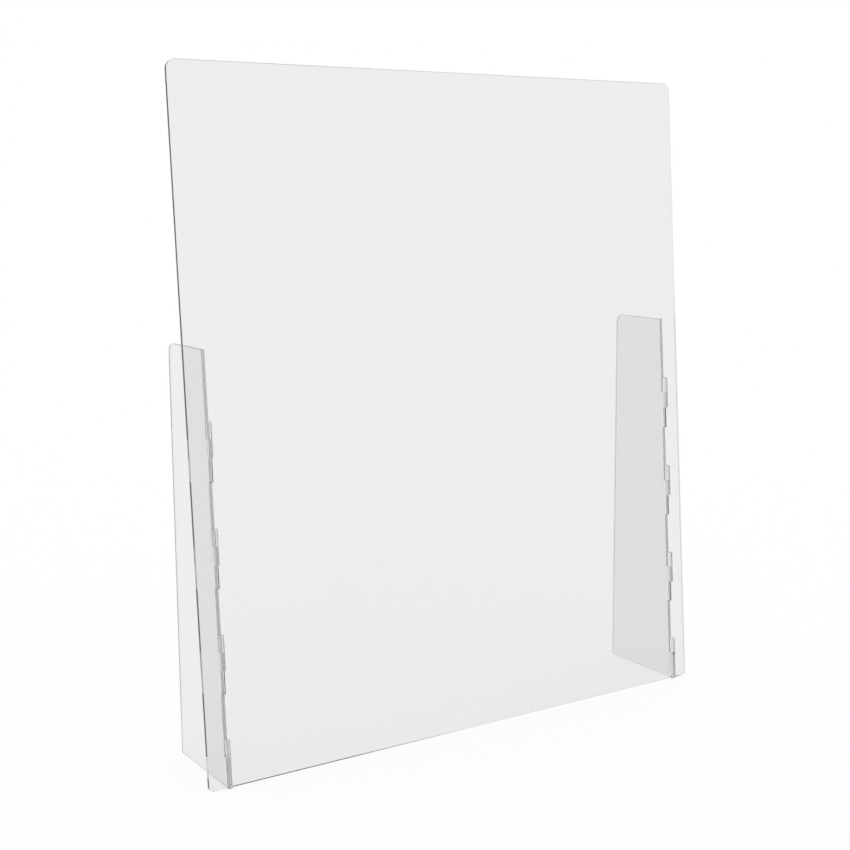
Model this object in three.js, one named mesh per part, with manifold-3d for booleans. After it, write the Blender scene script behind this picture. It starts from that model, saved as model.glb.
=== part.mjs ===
// A free-standing clear desk barrier. One large sheet leans back a little and hangs on the hooks
// of two side panels, which stand behind it and keep it up. All three are cut from the same flat
// clear plastic sheet, and they lock together with no fasteners: each hook passes through a slot
// in the main panel and turns up in front of it, so the main panel comes off when it is lifted.
//
// Millimetres. +X is to the right, +Y to the back and +Z up. The origin is on the desk, under the
// middle of the whole object. "Up" and "back" in a name are measured along the leaning main panel,
// from the lower front edge of it.

import * as THREE from 'three';
import { mergeVertices } from 'three/addons/utils/BufferGeometryUtils.js';
import Module from 'manifold-3d';

const wasm = await Module();
wasm.setup();

// Driving dimensions: the sheet and the overall sizes.
const SHEET = 4.76;
const WIDTH = 806.45;
const HEIGHT = 914.4;
const DEPTH = 152.4;
const SIDE_HEIGHT = 558.8;
const LEAN = THREE.MathUtils.degToRad(4);
const SIDE_SPACING = 752;

// Hooks: one row up the front of each side panel, the lowest one at the desk.
const HOOKS = 4;
const HOOK_PITCH = 135.8;
const LOWEST_ROOT_TOP = 40.2;
const ROOT_HEIGHT = 23.5;
const FINGER_HEIGHT = 23.5;
const FINGER_DEPTH = 5.2;

// Slots: as wide as a sheet with play on both sides, and long enough for a whole hook to pass.
const PLAY = 0.3;
const SLOT_WIDTH = SHEET + 2 * PLAY;
const SLOT_LENGTH = 54;

// Corner radii.
const TOP_RADIUS = 12.7;
const FOOT_RADIUS = 6.35;
const HEEL_RADIUS = 3;
const HOOK_RADIUS = 2.4;
const ARC_SEGMENTS = 6;

const clearPlastic = {
  color: 0xe9ecec,
  roughness: 0.04,
  metalness: 0,
  transparent: true,
  opacity: 0.3,
};

// A closed outline through the given corners. A corner is [x, y] or [x, y, radius], and a radius
// rounds it with an arc that touches both of its sides.
function roundedOutline(corners) {
  const path = new THREE.Shape();
  const points = corners.map(([x, y]) => new THREE.Vector2(x, y));
  points.forEach((corner, i) => {
    const before = points[(i + points.length - 1) % points.length];
    const after = points[(i + 1) % points.length];
    const radius = corners[i][2] ?? 0;
    if (radius > 0) {
      const inward = before.clone().sub(corner).normalize();
      const outward = after.clone().sub(corner).normalize();
      const halfAngle = Math.acos(inward.dot(outward)) / 2;
      const setback = radius / Math.tan(halfAngle);
      const bisector = inward.clone().add(outward).normalize();
      const centre = corner.clone().addScaledVector(bisector, radius / Math.sin(halfAngle));
      const from = corner.clone().addScaledVector(inward, setback).sub(centre).angle();
      const to = corner.clone().addScaledVector(outward, setback).sub(centre).angle();
      path.absarc(centre.x, centre.y, radius, from, to, inward.cross(outward) > 0);
    } else if (i === 0) {
      path.moveTo(corner.x, corner.y);
    } else {
      path.lineTo(corner.x, corner.y);
    }
  });
  path.closePath();
  return path;
}

// A flat piece of sheet cut to an outline, from z = 0 to the sheet's thickness.
function cutSheet(outline) {
  return new THREE.ExtrudeGeometry(outline, {
    depth: SHEET,
    bevelEnabled: false,
    curveSegments: ARC_SEGMENTS,
  });
}

// A closed geometry as a solid that can be cut.
function solidOf(geometry) {
  geometry.deleteAttribute('normal');
  geometry.deleteAttribute('uv');
  const merged = mergeVertices(geometry);
  const vertProperties = Float32Array.from(merged.attributes.position.array);
  const triVerts = Uint32Array.from(merged.index.array);
  return new wasm.Manifold(new wasm.Mesh({ numProp: 3, vertProperties, triVerts }));
}

// A cut solid as a geometry again, with flat faces.
function geometryOf(solid) {
  const { vertProperties, triVerts } = solid.getMesh();
  const indexed = new THREE.BufferGeometry();
  indexed.setAttribute('position', new THREE.BufferAttribute(vertProperties, 3));
  indexed.setIndex(new THREE.BufferAttribute(triVerts, 1));
  const flat = indexed.toNonIndexed();
  flat.computeVertexNormals();
  return flat;
}

function namedMesh(name, geometry) {
  const mesh = new THREE.Mesh(geometry, new THREE.MeshStandardMaterial(clearPlastic));
  mesh.name = name;
  return mesh;
}

// How far up the main panel the top of a hook's root lies. Hook 0 is the one at the desk.
function rootTop(hook) {
  return LOWEST_ROOT_TOP + hook * HOOK_PITCH;
}

// What is cut out of the flat main panel for one hook. The lowest slot of each row runs out of the
// bottom edge as an open notch.
function slotCutter(middleX, hook) {
  const top = rootTop(hook) + PLAY;
  const length = hook > 0 ? SLOT_LENGTH : 2 * top;
  const box = new THREE.BoxGeometry(SLOT_WIDTH, length, 3 * SHEET);
  box.translate(middleX, top - length / 2, SHEET / 2);
  return solidOf(box);
}

// The main panel: a tall sheet with two rows of slots. It is made flat, with x to the right and y
// up the sheet, and then stood up with its front face towards -Y.
function mainPanel() {
  const halfWidth = WIDTH / 2;
  const outline = roundedOutline([
    [-halfWidth, 0, FOOT_RADIUS],
    [halfWidth, 0, FOOT_RADIUS],
    [halfWidth, HEIGHT, TOP_RADIUS],
    [-halfWidth, HEIGHT, TOP_RADIUS],
  ]);
  let solid = solidOf(cutSheet(outline));
  for (const middleX of [-SIDE_SPACING / 2, SIDE_SPACING / 2]) {
    for (let hook = 0; hook < HOOKS; hook += 1) {
      solid = solid.subtract(slotCutter(middleX, hook));
    }
  }
  const panel = namedMesh('main_panel', geometryOf(solid));
  panel.geometry.translate(0, 0, -SHEET);
  panel.rotation.x = Math.PI / 2 - LEAN;
  panel.position.z = SHEET * Math.sin(LEAN);
  return panel;
}

// A point in the side view, [y, z], from how far back of the main panel's front face it lies and
// how far up that panel.
function inSideView(back, up) {
  return [
    back * Math.cos(LEAN) + up * Math.sin(LEAN),
    (SHEET - back) * Math.sin(LEAN) + up * Math.cos(LEAN),
  ];
}

// Where a line parallel to the main panel, so far back from its front face, is at a height z.
function yAtHeight(back, z) {
  const up = (z - (SHEET - back) * Math.sin(LEAN)) / Math.cos(LEAN);
  return inSideView(back, up)[0];
}

// A side panel: an upright sheet whose front edge leans with the main panel and carries the hooks.
// Its outline is drawn in the side view, with x for the object's +Y and y for its +Z.
function sidePanel(name, middleX) {
  const edge = SHEET + PLAY;
  const fingerBack = -PLAY;
  const fingerFront = fingerBack - FINGER_DEPTH;
  const heelY = yAtHeight(fingerFront, 0) + DEPTH;
  const corners = [
    [heelY, 0, HEEL_RADIUS],
    [heelY, SIDE_HEIGHT, TOP_RADIUS],
    [yAtHeight(edge, SIDE_HEIGHT), SIDE_HEIGHT],
  ];
  for (let hook = HOOKS - 1; hook >= 0; hook -= 1) {
    const top = rootTop(hook);
    corners.push(
      inSideView(edge, top),
      inSideView(fingerBack, top),
      inSideView(fingerBack, top + FINGER_HEIGHT),
      [...inSideView(fingerFront, top + FINGER_HEIGHT), HOOK_RADIUS],
    );
    if (hook > 0) {
      const bottom = top - ROOT_HEIGHT;
      corners.push([...inSideView(fingerFront, bottom), HOOK_RADIUS], inSideView(edge, bottom));
    } else {
      corners.push([yAtHeight(fingerFront, 0), 0, HOOK_RADIUS]);
    }
  }
  const panel = namedMesh(name, cutSheet(roundedOutline(corners)));
  panel.rotation.set(Math.PI / 2, Math.PI / 2, 0);
  panel.position.x = middleX - SHEET / 2;
  return panel;
}

const barrier = new THREE.Group();
barrier.add(
  mainPanel(),
  sidePanel('left_side_panel', -SIDE_SPACING / 2),
  sidePanel('right_side_panel', SIDE_SPACING / 2),
);

// The middle of the whole depth is at y = 0.
const extent = new THREE.Box3().setFromObject(barrier);
barrier.position.y = -(extent.min.y + extent.max.y) / 2;

export default barrier;
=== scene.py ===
"""The looks of the clear desk barrier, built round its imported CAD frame.

Metres, in the frame of the CAD part: +X right, +Y back, +Z up, with the origin on the desk under the
middle of the object. Each of the three sheets gets one piece, made from the same dimensions as its
CAD node, with what a cut sheet really has: eased arrises, smooth arcs, faintly wavy cast faces and
cut edges with fine marks across them.
"""
import math

import bpy
from mathutils import Euler, Matrix, Vector
from mathutils.geometry import delaunay_2d_cdt


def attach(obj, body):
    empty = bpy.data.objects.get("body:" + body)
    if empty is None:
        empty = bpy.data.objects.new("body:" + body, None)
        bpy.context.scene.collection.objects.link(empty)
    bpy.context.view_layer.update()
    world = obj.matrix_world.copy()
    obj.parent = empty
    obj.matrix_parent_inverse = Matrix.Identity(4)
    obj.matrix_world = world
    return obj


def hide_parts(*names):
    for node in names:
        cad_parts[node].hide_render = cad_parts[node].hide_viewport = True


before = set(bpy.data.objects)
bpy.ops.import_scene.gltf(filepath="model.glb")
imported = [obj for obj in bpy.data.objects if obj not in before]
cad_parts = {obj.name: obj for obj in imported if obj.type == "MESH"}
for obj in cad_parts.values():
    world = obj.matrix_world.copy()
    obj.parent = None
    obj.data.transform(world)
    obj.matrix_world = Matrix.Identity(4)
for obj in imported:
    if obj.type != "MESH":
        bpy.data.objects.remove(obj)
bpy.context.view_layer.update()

MM = 0.001

# The sheet and the overall sizes, in millimetres, as in the CAD part.
SHEET = 4.76
WIDTH = 806.45
HEIGHT = 914.4
DEPTH = 152.4
SIDE_HEIGHT = 558.8
LEAN = math.radians(4)
SIDE_SPACING = 752
MIDDLE_Y = 70.750

HOOKS = 4
HOOK_PITCH = 135.8
LOWEST_ROOT_TOP = 40.2
ROOT_HEIGHT = 23.5
FINGER_HEIGHT = 23.5
FINGER_DEPTH = 5.2

PLAY = 0.3
SLOT_WIDTH = SHEET + 2 * PLAY
SLOT_LENGTH = 54

TOP_RADIUS = 12.7
FOOT_RADIUS = 6.35
HEEL_RADIUS = 3
HOOK_RADIUS = 2.4

# The looks only: small radii of the cutter and the eased arris along every cut edge.
CUTTER_RADIUS = 0.6
ARRIS = 0.15
ARRIS_STEPS = 3
ARC_STEP = math.radians(6)

# The two material slots of a sheet.
FACES, EDGES = 0, 1

# The distance, in millimetres, below which two points of a face are one, and the kind of
# triangulation that covers what an outline encloses, less its holes.
SAME_POINT = 1e-7
LESS_HOLES = 4


# ---------------------------------------------------------------- outlines

def rounded(corners):
    """A closed outline, as points, through corners (x, y) or (x, y, radius)."""
    points = [Vector(c[:2]) for c in corners]
    outline = []
    for i, corner in enumerate(points):
        radius = corners[i][2] if len(corners[i]) > 2 else 0
        if not radius:
            outline.append(corner)
            continue
        inward = (points[i - 1] - corner).normalized()
        outward = (points[(i + 1) % len(points)] - corner).normalized()
        half = inward.angle(outward) / 2
        centre = corner + (inward + outward).normalized() * (radius / math.sin(half))
        start = corner + inward * (radius / math.tan(half)) - centre
        turn = math.pi - 2 * half
        if inward.cross(outward) > 0:
            turn = -turn
        steps = max(3, math.ceil(abs(turn) / ARC_STEP))
        for step in range(steps + 1):
            outline.append(centre + Matrix.Rotation(turn * step / steps, 2) @ start)
    return outline


def area(outline):
    """The outline's area, positive if it runs anticlockwise."""
    pairs = zip(outline, outline[1:] + outline[:1])
    return sum(a.cross(b) for a, b in pairs) / 2


def turned(outline, inside_left):
    """The outline, run so that the material lies to its left if inside_left."""
    return outline if (area(outline) > 0) == inside_left else outline[::-1]


def inset(outline, distance):
    """The outline moved sideways into the material, which lies to its left."""
    moved = []
    for i, point in enumerate(outline):
        along = (point - outline[i - 1]).normalized()
        onward = (outline[(i + 1) % len(outline)] - point).normalized()
        left = Vector((-along.y, along.x))
        next_left = Vector((-onward.y, onward.x))
        middle = (left + next_left).normalized()
        moved.append(point + middle * (distance / middle.dot(left)))
    return moved


# ---------------------------------------------------------------- sheets

def filled(outlines):
    """The triangles that fill an outline, less the holes in it, as indexes of all their points."""
    points, edges = [], []
    for outline in outlines:
        start, count = len(points), len(outline)
        points += outline
        edges += [(start + i, start + (i + 1) % count) for i in range(count)]
    _, _, triangles, origins, _, _ = delaunay_2d_cdt(points, edges, [], LESS_HOLES, SAME_POINT)
    return [[origins[v][0] for v in triangle] for triangle in triangles]


def cut_sheet(name, outer, holes):
    """A piece of sheet from z = 0 to its thickness, with an eased arris round every outline.

    The UV map runs in metres along and across the cut edges, and in the plane of the sheet on the
    faces.
    """
    loops = [turned(outer, True)] + [turned(hole, False) for hole in holes]
    sweep = [math.pi / 2 * k / ARRIS_STEPS for k in range(ARRIS_STEPS + 1)]
    profile = [(ARRIS * (1 - math.sin(a)), ARRIS * (1 - math.cos(a))) for a in sweep]
    rings = profile + [(d, SHEET - z) for d, z in reversed(profile)]

    verts, faces, slots, uvs = [], [], [], []
    cap_rings = {0: [], len(rings) - 1: []}
    for loop in loops:
        count = len(loop)
        first = len(verts)
        for distance, z in rings:
            verts += [(p.x, p.y, z) for p in inset(loop, distance)]
        run = [0.0]
        for i in range(count):
            run.append(run[-1] + (loop[(i + 1) % count] - loop[i]).length)
        for r, ((_, z0), (_, z1)) in enumerate(zip(rings, rings[1:])):
            low, high = first + r * count, first + (r + 1) * count
            for i in range(count):
                j = (i + 1) % count
                faces.append((low + i, low + j, high + j, high + i))
                slots.append(EDGES)
                uvs += [(run[i], z0), (run[i + 1], z0), (run[i + 1], z1), (run[i], z1)]
        for ring in cap_rings:
            cap_rings[ring].append(range(first + ring * count, first + (ring + 1) * count))

    for ring, members in cap_rings.items():
        index = [v for member in members for v in member]
        for triangle in filled([[Vector(verts[v][:2]) for v in member] for member in members]):
            corners = [index[v] for v in triangle]
            if ring == 0:
                corners.reverse()
            faces.append(corners)
            slots.append(FACES)
            uvs += [verts[v][:2] for v in corners]

    mesh = bpy.data.meshes.new(name)
    mesh.from_pydata([Vector(v) * MM for v in verts], [], faces)
    mesh.polygons.foreach_set("material_index", slots)
    mesh.polygons.foreach_set("use_smooth", [slot == EDGES for slot in slots])
    layer = mesh.uv_layers.new(name="cut")
    layer.data.foreach_set("uv", [c * MM for uv in uvs for c in uv])
    mesh.update()
    return mesh


def in_side_view(back, up):
    """(y, z) from how far back of the main panel's front face and how far up it a point is."""
    return (
        back * math.cos(LEAN) + up * math.sin(LEAN),
        (SHEET - back) * math.sin(LEAN) + up * math.cos(LEAN),
    )


def y_at_height(back, z):
    """The y at height z of the line that runs so far back of the main panel's front face."""
    up = (z - (SHEET - back) * math.sin(LEAN)) / math.cos(LEAN)
    return in_side_view(back, up)[0]


def root_top(hook):
    """How far up the main panel the top of a hook's root is, counting hooks from the foot."""
    return LOWEST_ROOT_TOP + hook * HOOK_PITCH


def main_outlines():
    """The main panel's outline with its two open notches, and its closed slots."""
    half, side, wide = WIDTH / 2, SIDE_SPACING / 2, SLOT_WIDTH / 2
    corners = [(-half, 0, FOOT_RADIUS)]
    for middle in (-side, side):
        top = root_top(0) + PLAY
        corners += [
            (middle - wide, 0),
            (middle - wide, top, CUTTER_RADIUS),
            (middle + wide, top, CUTTER_RADIUS),
            (middle + wide, 0),
        ]
    corners += [
        (half, 0, FOOT_RADIUS),
        (half, HEIGHT, TOP_RADIUS),
        (-half, HEIGHT, TOP_RADIUS),
    ]
    slots = []
    for middle in (-side, side):
        for hook in range(1, HOOKS):
            top = root_top(hook) + PLAY
            slots.append(rounded([
                (middle - wide, top - SLOT_LENGTH, CUTTER_RADIUS),
                (middle + wide, top - SLOT_LENGTH, CUTTER_RADIUS),
                (middle + wide, top, CUTTER_RADIUS),
                (middle - wide, top, CUTTER_RADIUS),
            ]))
    return rounded(corners), slots


def side_outline():
    """A side panel's outline in the side view, with x for +Y and y for +Z."""
    edge = SHEET + PLAY
    finger_back = -PLAY
    finger_front = finger_back - FINGER_DEPTH
    heel = y_at_height(finger_front, 0) + DEPTH
    corners = [
        (heel, 0, HEEL_RADIUS),
        (heel, SIDE_HEIGHT, TOP_RADIUS),
        (y_at_height(edge, SIDE_HEIGHT), SIDE_HEIGHT, CUTTER_RADIUS),
    ]
    for hook in reversed(range(HOOKS)):
        top = root_top(hook)
        corners += [
            (*in_side_view(edge, top), CUTTER_RADIUS),
            (*in_side_view(finger_back, top), CUTTER_RADIUS),
            (*in_side_view(finger_back, top + FINGER_HEIGHT), CUTTER_RADIUS),
            (*in_side_view(finger_front, top + FINGER_HEIGHT), HOOK_RADIUS),
        ]
        if hook:
            bottom = top - ROOT_HEIGHT
            corners += [
                (*in_side_view(finger_front, bottom), HOOK_RADIUS),
                (*in_side_view(edge, bottom), CUTTER_RADIUS),
            ]
        else:
            corners.append((y_at_height(finger_front, 0), 0, HOOK_RADIUS))
    return rounded(corners)


# ---------------------------------------------------------------- materials

def node(tree, kind, inputs=()):
    """A new node, with its inputs set to values or linked to sockets."""
    made = tree.nodes.new(kind)
    for key, value in dict(inputs).items():
        if isinstance(value, bpy.types.NodeSocket):
            tree.links.new(value, made.inputs[key])
        else:
            made.inputs[key].default_value = value
    return made


IOR = 1.49

# How often the roughness rises and falls, per metre, and how often a mark across a cut edge changes
# between one face of the sheet and the other.
WANDER = 9.0
CHANGES_ACROSS = 0.16


def clear_plastic(name, tint, absorption, roughness, relief_height, metres_per_mark, uv):
    """Clear cast sheet, with marks across its cut edges if uv, or a gentle waviness if not.

    absorption is (density, colour) and roughness is (smoothest, roughest).
    """
    material = bpy.data.materials.new(name)
    material.use_nodes = True
    tree = material.node_tree
    tree.nodes.clear()
    coordinates = node(tree, "ShaderNodeTexCoord")
    place = coordinates.outputs["UV" if uv else "Object"]
    marks = place
    if uv:
        marks = node(tree, "ShaderNodeMapping", {
            "Vector": place,
            "Scale": (1 / metres_per_mark, CHANGES_ACROSS / (SHEET * MM), 1),
        }).outputs["Vector"]
    noise = node(tree, "ShaderNodeTexNoise", {
        "Vector": marks,
        "Scale": 1.0 if uv else 1 / metres_per_mark,
        "Detail": 2.0,
        "Roughness": 0.5,
    })
    wander = node(tree, "ShaderNodeTexNoise", {
        "Vector": coordinates.outputs["Object"],
        "Scale": WANDER,
        "Detail": 3.0,
        "Roughness": 0.55,
    })
    rough = node(tree, "ShaderNodeMapRange", {
        "Value": wander.outputs["Fac"],
        "From Min": 0.3,
        "From Max": 0.7,
        "To Min": roughness[0],
        "To Max": roughness[1],
    })
    relief = node(tree, "ShaderNodeBump", {
        "Height": noise.outputs["Fac"],
        "Strength": 1.0,
        "Distance": relief_height,
    })
    shader = node(tree, "ShaderNodeBsdfPrincipled", {
        "Base Color": (*tint, 1),
        "Roughness": rough.outputs["Result"],
        "Normal": relief.outputs["Normal"],
        "IOR": IOR,
        "Transmission Weight": 1.0,
    })
    volume = node(tree, "ShaderNodeVolumeAbsorption", {
        "Color": (*absorption[1], 1),
        "Density": absorption[0],
    })
    output = node(tree, "ShaderNodeOutputMaterial")
    tree.links.new(shader.outputs["BSDF"], output.inputs["Surface"])
    tree.links.new(volume.outputs["Volume"], output.inputs["Volume"])
    return material


# The absorption inside every sheet, and the tint of the light that passes its surfaces.
INSIDE = (24.0, (0.828, 0.832, 0.828))
MAIN_TINT = (0.868, 0.862, 0.859)
SIDE_TINT = (0.862, 0.862, 0.855)

# The roughness, the height of the relief and the metres from one mark to the next.
CAST = ((0.0, 0.02), 2e-6, 0.06)
CUT = ((0.0, 0.005), 0.5e-6, 0.0006)

main_face = clear_plastic("clear_main_face", MAIN_TINT, INSIDE, *CAST, uv=False)
main_edge = clear_plastic("clear_main_edge", MAIN_TINT, INSIDE, *CUT, uv=True)
side_face = clear_plastic("clear_side_face", SIDE_TINT, INSIDE, *CAST, uv=False)
side_edge = clear_plastic("clear_side_edge", SIDE_TINT, INSIDE, *CUT, uv=True)


# ---------------------------------------------------------------- pieces

def piece(mesh, placing, materials, body):
    """One sheet, in place of the CAD node that has its body's name."""
    mesh.transform(placing)
    for material in materials:
        mesh.materials.append(material)
    made = bpy.data.objects.new(mesh.name, mesh)
    bpy.context.scene.collection.objects.link(made)
    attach(made, body)
    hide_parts(body)


to_middle = Matrix.Translation((0, -MIDDLE_Y * MM, 0))
# Stands the main sheet up, leaning back, with the lower edge of its back face on the desk.
stand_up = (
    Matrix.Translation((0, 0, SHEET * math.sin(LEAN) * MM))
    @ Matrix.Rotation(math.pi / 2 - LEAN, 4, "X")
    @ Matrix.Translation((0, 0, -SHEET * MM))
)
outer, slots = main_outlines()
piece(cut_sheet("main_sheet", outer, slots), to_middle @ stand_up, (main_face, main_edge), "main_panel")

# The side view's x, y and thickness become +Y, +Z and +X.
side_on = Matrix(((0, 0, 1, 0), (1, 0, 0, 0), (0, 1, 0, 0), (0, 0, 0, 1)))
for side, middle in (("left", -SIDE_SPACING / 2), ("right", SIDE_SPACING / 2)):
    across = Matrix.Translation(((middle - SHEET / 2) * MM, 0, 0))
    mesh = cut_sheet(f"{side}_side_sheet", side_outline(), [])
    piece(mesh, to_middle @ across @ side_on, (side_face, side_edge), f"{side}_side_panel")


# ---------------------------------------------------------------- stage, light and camera

# How bright the studio is all round, and the share of its light that the floor sends back. The
# floor glows by the rest, and lies a little below the desk's surface at z = 0.
WHITE = 1.0
FLOOR_REFLECTANCE = 0.10
FLOOR_DROP = 0.0005


def floor(size):
    """A plain pale floor, which glows evenly so that the soft shadows on it stay light."""
    mesh = bpy.data.meshes.new("floor")
    half = size / 2
    corners = [(-half, -half, 0), (half, -half, 0), (half, half, 0), (-half, half, 0)]
    mesh.from_pydata(corners, [], [(0, 1, 2, 3)])
    made = bpy.data.objects.new("floor", mesh)
    bpy.context.scene.collection.objects.link(made)
    made.location.z = -FLOOR_DROP
    material = bpy.data.materials.new("floor")
    material.use_nodes = True
    tree = material.node_tree
    tree.nodes.clear()
    diffuse = node(tree, "ShaderNodeBsdfDiffuse", {"Color": (FLOOR_REFLECTANCE,) * 3 + (1,)})
    glow = node(tree, "ShaderNodeEmission", {"Strength": WHITE * (1 - FLOOR_REFLECTANCE)})
    both = node(tree, "ShaderNodeAddShader", {0: diffuse.outputs[0], 1: glow.outputs[0]})
    node(tree, "ShaderNodeOutputMaterial", {"Surface": both.outputs[0]})
    mesh.materials.append(material)


def studio():
    """Even white light from all round."""
    world = bpy.data.worlds.new("studio")
    bpy.context.scene.world = world
    world.use_nodes = True
    tree = world.node_tree
    tree.nodes.clear()
    background = node(tree, "ShaderNodeBackground", {"Color": (1, 1, 1, 1), "Strength": WHITE})
    node(tree, "ShaderNodeOutputWorld", {"Surface": background.outputs[0]})


floor(size=12)
studio()

camera_data = bpy.data.cameras.new("camera")
camera_data.lens = 61.734
camera_data.sensor_width = 36
camera_data.shift_x = -0.0618
camera_data.shift_y = -0.0114
camera = bpy.data.objects.new("camera", camera_data)
bpy.context.scene.collection.objects.link(camera)
camera.location = (-1.1076, -1.6390 - MIDDLE_Y * MM, 0.7561)
camera.rotation_euler = Euler([math.radians(angle) for angle in (81.160, 0.080, -34.261)])
bpy.context.scene.camera = camera

# Light that runs inside the main sheet from edge to edge is reflected over a hundred times.
INNER_BOUNCES = 160

scene = bpy.context.scene
scene.view_settings.view_transform = "Standard"
scene.cycles.max_bounces = INNER_BOUNCES
scene.cycles.transmission_bounces = INNER_BOUNCES
scene.cycles.glossy_bounces = INNER_BOUNCES
scene.cycles.diffuse_bounces = 3

bpy.context.view_layer.update()
